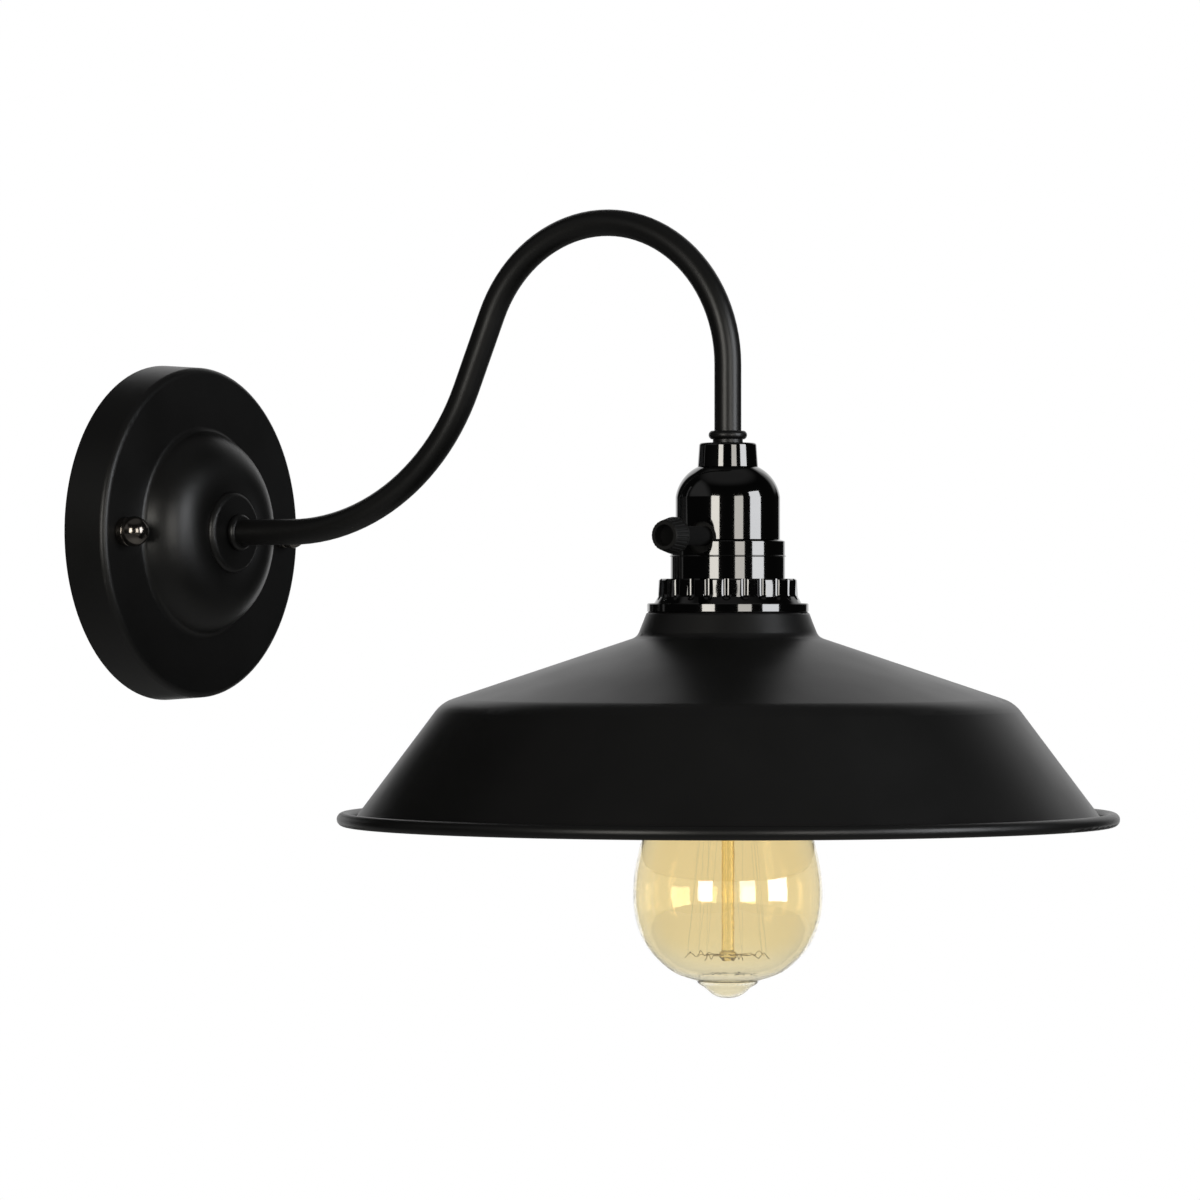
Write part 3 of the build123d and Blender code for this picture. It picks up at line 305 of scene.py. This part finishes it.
finishes = {
    "coat": powder_coat(),
    "shade": shade_coat(),
    "chrome": black_chrome(),
    "nickel": metal("dark_nickel", (0.2, 0.18, 0.16), (0.28, 0.255, 0.23), rough=0.1, spread=0.06),
    "knob": knob_plastic(),
    "zinc": metal("zinc_plate", (0.5, 0.51, 0.51), (0.64, 0.65, 0.64), rough=0.28, spread=0.12),
    "brass": metal("plain_brass", (0.62, 0.45, 0.19), (0.76, 0.58, 0.28), rough=0.22, spread=0.1),
    "cap": metal("nickelled_brass", (0.58, 0.53, 0.43), (0.7, 0.66, 0.56), rough=0.2, spread=0.08),
    "tin": metal("tin_contact", (0.5, 0.5, 0.49), (0.68, 0.68, 0.66), rough=0.3, spread=0.12, grain=700,
                 depth=0.00006),
    "wire": metal("drawn_wire", (0.32, 0.27, 0.19), (0.42, 0.37, 0.28), rough=0.3, spread=0.1),
    "filament": hair_wire(),
    "hooks": metal("brown_hooks", (0.36, 0.28, 0.17), (0.48, 0.38, 0.24), rough=0.35, spread=0.1),
    "white": moulded("white_moulding", (0.7, 0.7, 0.67), (0.78, 0.78, 0.75), rough=0.35),
    "black": moulded("black_moulding", (0.016, 0.016, 0.016), (0.026, 0.026, 0.025), rough=0.4),
    "porcelain": moulded("glazed_porcelain", (0.74, 0.73, 0.69), (0.82, 0.81, 0.77), rough=0.12, depth=0.00004,
                         scale=420),
    "cap_glass": moulded("black_glass", (0.006, 0.006, 0.008), (0.012, 0.012, 0.014), rough=0.08, depth=0.00003,
                         scale=500),
    "live": moulded("live_sleeve", (0.16, 0.07, 0.035), (0.2, 0.09, 0.045), rough=0.3),
    "neutral": moulded("neutral_sleeve", (0.03, 0.09, 0.32), (0.04, 0.12, 0.4), rough=0.3),
    "earth": moulded("earth_sleeve", (0.12, 0.3, 0.05), (0.5, 0.48, 0.04), rough=0.3),
    "amber": amber_glass(),
    "stem": stem_glass(),
}

pieces_by_finish = {
    "coat": ("wall_canopy", "wall_ferrule", "gooseneck_arm", "socket_ferrule"),
    "shade": ("shade",),
    "chrome": ("socket_neck", "socket_cap", "socket_shell", "shade_ring_upper", "shade_ring_lower"),
    "nickel": ("cap_nuts",),
    "knob": ("switch_knob", "switch_shaft"),
    "zinc": ("mounting_bracket", "canopy_studs", "stud_lock_nuts", "terminal_screws", "arm_lock_nut",
             "arm_lock_washer"),
    "brass": ("earth_screw", "core_terminal_screws", "centre_contact"),
    "cap": ("screw_shell", "bulb_cap"),
    "tin": ("bulb_contact",),
    "wire": ("filament_supports", "lead_wires"),
    "filament": ("filament",),
    "white": ("terminal_block", "switch_cam"),
    "black": ("insulating_liner", "switch_housing"),
    "porcelain": ("socket_core",),
    "cap_glass": ("bulb_insulator",),
    "live": ("live_wire",),
    "neutral": ("neutral_wire",),
    "earth": ("earth_wire",),
    "amber": ("bulb_glass",),
    "stem": ("bulb_stem",),
}
for finish_name, names in pieces_by_finish.items():
    for name in names:
        mesh = nodes[name].data
        mesh.materials.clear()
        mesh.materials.append(finishes[finish_name])


class Shape(Tree):
    """A tree of geometry nodes with named sizes as its inputs."""

    def __init__(self, name, sizes):
        self.group = bpy.data.node_groups.new(name, "GeometryNodeTree")
        super().__init__(self.group)
        self.group.interface.new_socket("Mesh", in_out="OUTPUT", socket_type="NodeSocketGeometry")
        self.sizes = {}
        for size_name, size in sizes.items():
            kind = "NodeSocketInt" if isinstance(size, int) else "NodeSocketFloat"
            socket = self.group.interface.new_socket(size_name, in_out="INPUT", socket_type=kind)
            self.sizes[socket.identifier] = size
        self.size = self.outputs(self.add("NodeGroupInput"))

    def point(self, x=0.0, y=0.0, z=0.0):
        return self.add("ShaderNodeCombineXYZ", {}, {"X": x, "Y": y, "Z": z})

    def close(self, instances, material):
        real = self.add("GeometryNodeRealizeInstances", {}, {"Geometry": instances})
        painted = self.add("GeometryNodeSetMaterial", {}, {"Geometry": real, "Material": material})
        self.add("NodeGroupOutput", {}, {"Mesh": painted}, output=None)

    def piece(self, name):
        """The mesh that the nodes make, as a plain piece at the origin."""
        made = bpy.data.objects.new(name, bpy.data.meshes.new(name))
        bpy.context.scene.collection.objects.link(made)
        modifier = made.modifiers.new("shape", "NODES")
        modifier.node_group = self.group
        for identifier, size in self.sizes.items():
            modifier[identifier] = size
        mesh = bpy.data.meshes.new_from_object(made.evaluated_get(bpy.context.evaluated_depsgraph_get()))
        made.modifiers.remove(modifier)
        made.data = mesh
        return made


def hook_ring(name, sizes):
    """A ring of wires that stand out from the stem and end in a wavy pigtail."""
    full_turn = 2 * math.pi
    shape = Shape(name, sizes)
    size = shape.size
    line = shape.add("GeometryNodeCurvePrimitiveLine", {}, {"Start": shape.point(size["Root"]),
                                                            "End": shape.point(size["Reach"])})
    line = shape.add("GeometryNodeResampleCurve", {}, {"Curve": line, "Count": size["Steps"]})
    along = shape.add("GeometryNodeSplineParameter", output="Factor")
    pigtail = (along - size["Straight"]) / (1 - size["Straight"]) | 0
    swing = (pigtail * size["Waves"] * full_turn).sine() * (pigtail & 0.5) * 2
    lift = shape.point(z=swing * size["Wave Height"])
    line = shape.add("GeometryNodeSetPosition", {}, {"Geometry": line, "Offset": lift})
    section = shape.add("GeometryNodeCurvePrimitiveCircle", {}, {"Resolution": 8, "Radius": size["Wire"]})
    wire = shape.add("GeometryNodeCurveToMesh", {}, {"Curve": line, "Profile Curve": section, "Fill Caps": True})
    foot = shape.point(0.0, lamp_axis.y, size["Height"])
    stand = shape.add("GeometryNodePoints", {}, {"Count": size["Wires"], "Position": foot})
    number = shape.add("GeometryNodeInputIndex")
    turn = shape.point(z=(number + size["First"]) * full_turn / size["Places"])
    wires = shape.add("GeometryNodeInstanceOnPoints", {}, {"Points": stand, "Instance": wire, "Rotation": turn})
    shape.close(wires, finishes["hooks"])
    ring = shape.piece(name)
    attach(ring, "bulb")
    return ring


def support_hooks():
    """Two rings of hooks in place of the plain ones: seven round the hub and six at the head of the stem."""
    low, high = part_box("filament_supports")
    hook_margin = 0.0011
    hook_wire = 0.00013
    past_strands = 0.0008
    hub_reach = past_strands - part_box("filament")[0].x
    hub_hooks = hook_ring("hub_hooks", {"Wires": 7, "Places": 7, "First": 0.5, "Root": 0.0023, "Reach": hub_reach,
                                        "Height": low.z + hook_margin, "Straight": 0.42, "Waves": 1.75,
                                        "Wave Height": 0.0009, "Wire": hook_wire, "Steps": 60})
    hook_ring("head_hooks", {"Wires": 6, "Places": 7, "First": 1.0, "Root": 0.0014, "Reach": 0.0065,
                             "Height": high.z - hook_margin, "Straight": 0.5, "Waves": 0.75,
                             "Wave Height": -0.0005, "Wire": hook_wire, "Steps": 40})
    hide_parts("filament_supports")


support_hooks()


def studio_world():
    """A white backdrop straight behind the light, in a dim room with a faintly lit ceiling, a dim window to the
    left, a pale wall far behind to the right and one pale door frame."""
    backdrop_glow = 1.55  # held at 1 by the mix, so its edge is steep
    ceiling_glow = 0.085
    window_glow = 0.14
    wall_glow = 0.6
    door_glow = 0.2
    room = 0.012
    world = bpy.data.worlds.new("studio")
    world.use_nodes = True
    tree = Tree(world.node_tree)
    x, y, z = tree.parts(tree.add("ShaderNodeTexCoord", output="Generated"))
    nearer = x * towards_camera.x + y * towards_camera.y
    beside = x * view_right.x + y * view_right.y
    level = (nearer * nearer + beside * beside) ** 0.5
    behind = nearer / (level | 0.001)
    backdrop = tree.fall(behind, -0.93, -0.84, backdrop_glow) * tree.fall(z, 0.52, 0.6)
    ceiling = tree.rise(z, 0.7, 0.92, ceiling_glow)
    window = tree.fall(beside, -0.75, -0.55, window_glow) * tree.rise(nearer, -0.2, -0.05)
    window = window * tree.rise(z, 0.1, 0.35) * tree.fall(z, 0.75, 0.85)
    wall = tree.rise(beside, 0.2, 0.4, wall_glow) * tree.fall(nearer, -0.75, -0.55)
    wall = wall * tree.rise(z, 0.15, 0.32) * tree.fall(z, 0.58, 0.68)
    door = (behind > -0.31) * (behind < -0.24) * (beside < 0) * (z < 0.5) * door_glow
    glow = tree.unlit() | backdrop | ceiling | window | wall | door
    colour = tree.blend(glow, rgb(room, room, room), rgb(1, 1, 1))
    background = tree.add("ShaderNodeBackground", {}, {"Color": colour, "Strength": 1.0})
    tree.add("ShaderNodeOutputWorld", {}, {"Surface": background}, output=None)
    bpy.context.scene.world = world


def softbox(name, turn, width, bottom, top, radiance, colour):
    """An upright softbox round the lamp's axis, turned to the right of the camera by so many degrees."""
    distance = 1.6
    height = top - bottom
    light = bpy.data.lights.new(name, "AREA")
    light.shape = "RECTANGLE"
    light.size = width
    light.size_y = height
    light.energy = math.pi * radiance * width * height
    light.color = colour
    piece = bpy.data.objects.new(name, light)
    angle = math.radians(turn)
    out = towards_camera * math.cos(angle) + view_right * math.sin(angle)
    piece.location = lamp_axis + out * distance + Vector((0, 0, (bottom + top) / 2))
    piece.rotation_euler = (-out).to_track_quat("-Z", "Y").to_euler()
    piece.visible_camera = False
    bpy.context.scene.collection.objects.link(piece)


def pale_floor():
    """A matt floor far below, white to the eye, and clear from underneath."""
    half = 6.0
    depth = -1.9
    corners = [(-half, -half, depth), (half, -half, depth), (half, half, depth), (-half, half, depth)]
    mesh = bpy.data.meshes.new("floor")
    mesh.from_pydata(corners, [], [(0, 1, 2, 3)])
    floor = bpy.data.objects.new("floor", mesh)
    bpy.context.scene.collection.objects.link(floor)
    finish = Finish("pale_floor")
    matt = finish.add("ShaderNodeBsdfDiffuse", {}, {"Color": rgb(0.7, 0.7, 0.69)})
    white = finish.add("ShaderNodeEmission", {}, {"Color": rgb(1, 1, 1), "Strength": 1.0})
    seen = finish.add("ShaderNodeMixShader", {}, {0: finish.unlit(), 1: matt, 2: white})
    below = finish.add("ShaderNodeNewGeometry", output="Backfacing")
    clear = finish.add("ShaderNodeBsdfTransparent")
    mesh.materials.append(finish.end(finish.add("ShaderNodeMixShader", {}, {0: below, 1: seen, 2: clear})))


def photo_camera():
    camera = bpy.data.cameras.new("camera")
    camera.lens = view_lens
    camera.sensor_width = 36
    camera.clip_end = 50
    eye = bpy.data.objects.new("camera", camera)
    eye.location = view_aim + towards_camera * view_distance
    eye.rotation_euler = (-towards_camera).to_track_quat("-Z", "Y").to_euler()
    bpy.context.scene.collection.objects.link(eye)
    bpy.context.scene.camera = eye


studio_world()
pale_floor()
softbox("softbox_left", turn=-28.7, width=0.507, bottom=-0.27, top=0.62, radiance=6.2, colour=(1.0, 0.97, 0.9))
softbox("softbox_middle", turn=22.8, width=0.54, bottom=-0.27, top=0.62, radiance=3.95, colour=(1.0, 0.97, 0.91))
softbox("softbox_right", turn=62.4, width=0.765, bottom=-0.27, top=0.85, radiance=5.8, colour=(0.95, 0.97, 1.0))
photo_camera()
bpy.context.scene.view_settings.view_transform = "Standard"
